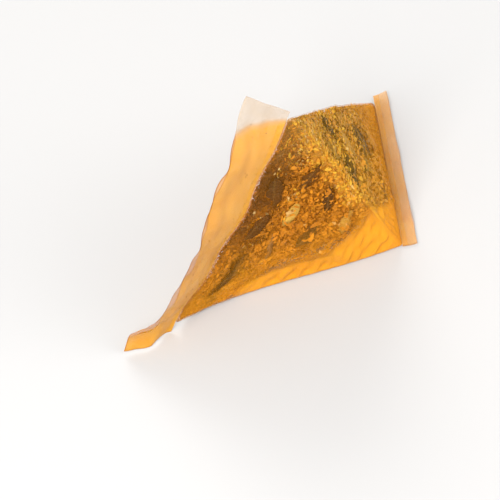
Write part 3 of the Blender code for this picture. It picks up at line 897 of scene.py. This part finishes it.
def cover(points, places):
    """How well each point lies over a coarse piece: over zero inside its outline."""
    over = np.zeros(len(points))
    for kind, _, seat in places:
        length, width = SIZES[kind][:2]
        x, y = seat.flat_place(points)
        inside = 1.25 - (2 * x / length) ** 2 - (2 * y / width) ** 2
        over = np.maximum(over, inside * seat.beside(points))
    return over


def fragments(count, seed, places):
    """Flakes of leaf and petal, each one a small bent strip."""
    rng = np.random.default_rng(seed)
    spots, face = spots_on_faces(count, rng)
    directions = unit(spots - CENTRE)
    shares = meet(directions)[2]
    keep = slackness(shares) < 0.25 + 0.3 * rng.random(count)
    spots, face, directions = spots[keep], face[keep], directions[keep]
    count = len(spots)
    normal = NORMALS[face]
    seam_like = unit(SEAM_DIRECTION - normal * (normal @ SEAM_DIRECTION)[:, None])
    turn = rng.random(count) * 2 * math.pi
    side = np.cross(normal, seam_like)
    along = seam_like * np.cos(turn)[:, None] + side * np.sin(turn)[:, None]
    across = np.cross(normal, along)
    size = np.exp(rng.normal(-0.3, 0.42, count)).clip(0.35, 2.2)
    slender = 0.22 + 0.45 * rng.random(count)
    edge = edge_of(meet(directions)[2])
    deepest = (bed_depth(directions) + 0.25) * (1 - edge) + 0.5 * edge
    under = cover(spots, places) > 0
    bare = cover(spots, [place for place in places if place[1] in BARE]) > 0
    on_top = (rng.random(count) < 0.2) & ~bare
    least = np.where(under, np.where(on_top, 0.16, WALL_DEPTH + 0.95), 0.4 - 0.28 * edge)
    most = np.where(under & on_top, 0.34, np.maximum(deepest, least + 0.1))
    depth = least + (most - least) * rng.random(count) ** 1.3
    tilt = rng.normal(0, 0.13, (count, 2))
    bend = rng.normal(0, 0.11, count)
    stations = ((-0.5, 0.55), (-0.17, 1.0), (0.2, 0.9), (0.5, 0.3))
    rows = []
    for place, girth in stations:
        for hand in (-0.5, 0.5):
            x = place * size
            y = hand * girth * size * slender
            flat = spots + along * x[:, None] + across * y[:, None]
            rise = tilt[:, 0] * x + tilt[:, 1] * y + bend * size * (4 * place * place - 0.5)
            deep = np.clip(depth + rise, least, most + 0.3)
            rows.append(under_skin(unit(flat - CENTRE), deep))
    points = np.stack(rows, 1)
    tint = tea_tint(spots, rng)
    uneven = 0.85 + 0.3 * rng.random((count, len(rows), 1))
    tints = np.repeat(tint[:, None], len(rows), 1) * uneven
    base = np.arange(count)[:, None] * len(rows)
    quads = [base + np.array([k, k + 1, k + 3, k + 2]) for k in (0, 2, 4)]
    return points.reshape(-1, 3), np.concatenate(quads), tints.reshape(-1, 3)


def grains(centre, axes, lengths):
    """Small eight-sided grains from their centres, axes and half lengths."""
    corners = np.array([(1, 0, 0), (-1, 0, 0), (0, 1, 0), (0, -1, 0), (0, 0, 1), (0, 0, -1)])
    points = centre[:, None] + np.einsum("vk,nk,nkd->nvd", corners, lengths, axes)
    points[..., 2] = np.maximum(points[..., 2], LOWEST_TEA)
    solid = np.array(
        [(0, 2, 4), (2, 1, 4), (1, 3, 4), (3, 0, 4), (2, 0, 5), (1, 2, 5), (3, 1, 5), (0, 3, 5)]
    )
    faces = (np.arange(len(centre))[:, None, None] * 6 + solid).reshape(-1, 3)
    return points.reshape(-1, 3), faces


def crumbs(count, seed):
    """Small solid grains and broken twigs between the flakes."""
    rng = np.random.default_rng(seed)
    spots, face = spots_on_faces(count, rng)
    directions = unit(spots - CENTRE)
    keep = slackness(meet(directions)[2]) < 0.4 + 0.2 * rng.random(count)
    spots, face, directions = spots[keep], face[keep], directions[keep]
    count = len(spots)
    edge = edge_of(meet(directions)[2])
    depth = (bed_depth(directions) - 0.1 - 0.5 * rng.random(count)).clip(WALL_DEPTH + 0.3)
    centre = under_skin(directions, depth * (1 - edge) + 0.55 * edge)
    axes = unit(rng.normal(size=(count, 3, 3)))
    lengths = np.exp(rng.normal(-1.2, 0.3, (count, 3))).clip(0.12, 0.55)
    lengths[:, 0] *= 1 + 2.2 * (rng.random(count) < 0.3)
    points, faces = grains(centre, axes, lengths)
    return points, faces, np.repeat(tea_tint(spots, rng), 6, 0)


def dust(count, seed):
    """Specks of tea between the two layers of the wide flap, most of them near the weld."""
    rng = np.random.default_rng(seed)
    along = 0.12 + 0.8 * rng.random(count)
    across = 1.4 + 8.0 * rng.random(count) ** 2.2
    centre = soften(wide_plane(along, across))
    axes = unit(rng.normal(size=(count, 3, 3)))
    sizes = 0.07 + 0.13 * rng.random((count, 3))
    points, faces = grains(centre, axes, sizes)
    tints = np.repeat(TEA_COLOURS[rng.integers(0, 3, count)], 6, 0)
    return points, faces, tints


def fine_tea():
    """The bed's own surface and everything strewn on it, in one piece."""
    places = list(all_seats())
    parts = []
    for face in range(4):
        points, faces = face_grid(face, BED_STEPS)
        directions = unit(points - CENTRE)
        shares = meet(directions)[2]
        edge = edge_of(shares) * (cover(points, places) <= 0)
        at_edge = 0.6 - 0.35 * smooth(*IN_CORNER, shares.max(-1))
        depth = (bed_depth(directions) + 0.15) * (1 - edge) + at_edge * edge
        bed = under_skin(directions, depth)
        tints = 0.95 * tea_tint(bed, np.random.default_rng(BED_SEED + face))
        parts.append((bed, faces, tints))
    parts.append(fragments(FRAGMENT_COUNT, FRAGMENT_SEED, places))
    parts.append(crumbs(CRUMB_COUNT, CRUMB_SEED))
    parts.append(dust(SPECK_COUNT, SPECK_SEED))
    faces, start = [], 0
    for points, some, _ in parts:
        faces.extend((np.asarray(some) + start).tolist())
        start += len(points)
    points = np.concatenate([p[0] for p in parts])
    tints = np.concatenate([p[2] for p in parts])
    look = tinted_material("fine_tea", 1100.0, 0.36, 0.00008)
    tea = make("fine_tea", points, faces, look, tints, smooth_shading=False)
    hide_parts("tea_bed")


# The studio, in metres

FLOOR_HALF = 2.0
FLOOR_DROP = 0.0002
FLOOR_COLOUR = (0.49, 0.515, 0.60, 1)
LIGHT_COLOUR = (1.0, 0.94, 0.80)
WORLD_STRENGTH = 0.6
LAMPS = (
    ("key", (-0.35, -0.35, 0.55), 0.35, 6.4),
    ("fill", (0.5, -0.4, 0.35), 0.5, 3.0),
    ("rim", (0.1, 0.6, 0.4), 0.4, 3.4),
)
LAMP_TARGET = Vector((0, 0, 0.02))


def studio():
    """A pale floor, soft warm light all round and three square lamps."""
    floor_mesh = bpy.data.meshes.new("floor")
    half = FLOOR_HALF
    corners = [(-half, -half, 0), (half, -half, 0), (half, half, 0), (-half, half, 0)]
    floor_mesh.from_pydata(corners, [], [(0, 1, 2, 3)])
    floor = bpy.data.objects.new("floor", floor_mesh)
    floor.location.z = -FLOOR_DROP
    bpy.context.scene.collection.objects.link(floor)
    n = Nodes("floor")
    n.shader.inputs["Base Color"].default_value = FLOOR_COLOUR
    floor_mesh.materials.append(n.finish(0.7, 0.2))

    world = bpy.data.worlds.new("studio")
    world.use_nodes = True
    background = world.node_tree.nodes["Background"]
    background.inputs["Color"].default_value = (*LIGHT_COLOUR, 1)
    background.inputs["Strength"].default_value = WORLD_STRENGTH
    bpy.context.scene.world = world

    for name, place, size, power in LAMPS:
        lamp = bpy.data.lights.new(name, "AREA")
        lamp.shape = "SQUARE"
        lamp.size = size
        lamp.energy = power
        lamp.color = LIGHT_COLOUR
        light = bpy.data.objects.new(name, lamp)
        light.location = place
        aim = LAMP_TARGET - light.location
        light.rotation_euler = aim.to_track_quat("-Z", "Y").to_euler()
        bpy.context.scene.collection.objects.link(light)


VIEW_AZIMUTH = math.radians(-12.0)
VIEW_ELEVATION = math.radians(50.8)
VIEW_ROLL = math.radians(14.8)
PIXELS_PER_MM = 4.3
FRAME_PIXELS = 500
TARGET_PIXEL = (310.7, 196.6)
VIEW_DISTANCE = 600.0
SENSOR_WIDTH = 36.0


def camera():
    """A long lens at the picture's height, heading and roll."""
    a, e, r = VIEW_AZIMUTH, VIEW_ELEVATION, VIEW_ROLL
    back = np.array([math.sin(a) * math.cos(e), -math.cos(a) * math.cos(e), math.sin(e)])
    right = np.array([math.cos(a), math.sin(a), 0.0])
    up = np.cross(back, right)
    x_axis = right * math.cos(r) - up * math.sin(r)
    y_axis = right * math.sin(r) + up * math.cos(r)
    off_x = (TARGET_PIXEL[0] - FRAME_PIXELS / 2) / PIXELS_PER_MM
    off_y = (FRAME_PIXELS / 2 - TARGET_PIXEL[1]) / PIXELS_PER_MM
    aim = CORNERS.mean(0) - x_axis * off_x - y_axis * off_y
    data = bpy.data.cameras.new("camera")
    data.sensor_width = SENSOR_WIDTH
    data.lens = SENSOR_WIDTH * VIEW_DISTANCE * PIXELS_PER_MM / FRAME_PIXELS
    data.clip_start = 0.01
    data.clip_end = 20.0
    obj = bpy.data.objects.new("camera", data)
    bpy.context.scene.collection.objects.link(obj)
    place = (aim + back * VIEW_DISTANCE) * MM
    columns = np.stack([x_axis, y_axis, back], 1)
    matrix = np.eye(4)
    matrix[:3, :3] = columns
    matrix[:3, 3] = place
    obj.matrix_world = Matrix(matrix.tolist())
    bpy.context.scene.camera = obj


for obj in list(bpy.data.objects):
    bpy.data.objects.remove(obj)
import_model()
bpy.context.scene.view_settings.view_transform = "Standard"
camera()
studio()
sheer_bag()
coarse_pieces()
fine_tea()
